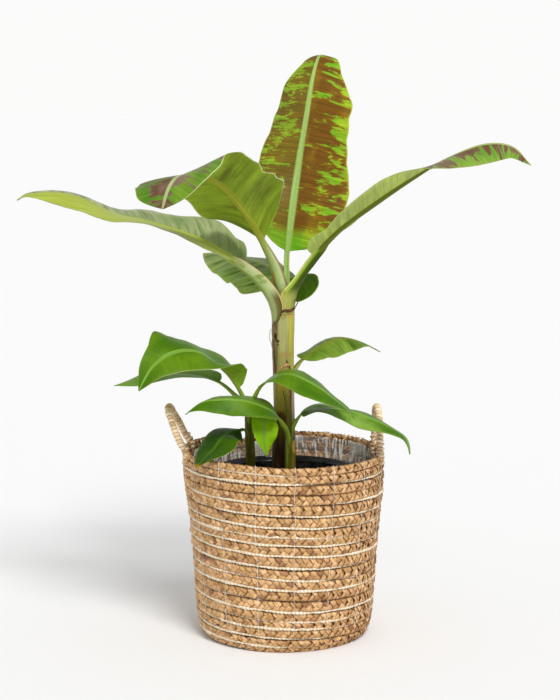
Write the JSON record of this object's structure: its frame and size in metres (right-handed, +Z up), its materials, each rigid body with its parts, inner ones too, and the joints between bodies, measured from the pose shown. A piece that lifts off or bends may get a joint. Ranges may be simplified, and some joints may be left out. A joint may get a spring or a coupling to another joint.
{
  "type": "potted banana plant",
  "caption": "Young banana plant with pups in a nursery pot, standing in a lined round basket of sewn braids with two rope loop handles.",
  "frame": {"origin": "centre of the basket's underside", "axes": "+Z up; +X to the right and +Y away, as seen from the side the picture shows"},
  "size_m": [0.8482, 0.5349, 0.9827],
  "materials": {
    "straw": "dry woven leaf fibre, matt",
    "rope": "twisted dry fibre rope, matt",
    "film": "clear crinkled film, glossy",
    "pot_plastic": "black, satin",
    "potting_mix": "dark crumbly potting mix",
    "stem": "pale green leaf sheaths with brown dry edges",
    "pup_stem": "smooth green stem, satin",
    "leaf": "green leaf, satin, with a light midrib",
    "leaf_blotched": "green leaf with red-brown blotches on its upper face, satin",
    "pup_leaf": "bright green leaf, glossy"
  },
  "bodies": {
    "root": {"basket_wall": "straw", "basket_base": "straw", "handle_left": "rope", "handle_right": "rope", "basket_liner": "film", "nursery_pot": "pot_plastic", "soil": "potting_mix", "pseudostem": "stem", "pup_left_stem": "pup_stem", "pup_right_stem": "pup_stem", "leaf_upright": "leaf_blotched", "leaf_right": "leaf_blotched", "leaf_front": "leaf_blotched", "leaf_left": "leaf", "leaf_back": "leaf", "leaf_low_right": "leaf", "pup_left_leaf_top": "pup_leaf", "pup_left_leaf_under": "pup_leaf", "pup_left_leaf_across": "pup_leaf", "pup_left_leaf_inner": "pup_leaf", "pup_left_leaf_low": "pup_leaf", "pup_right_leaf_left": "pup_leaf", "pup_right_leaf_right": "pup_leaf"}
  },
  "joints": []
}
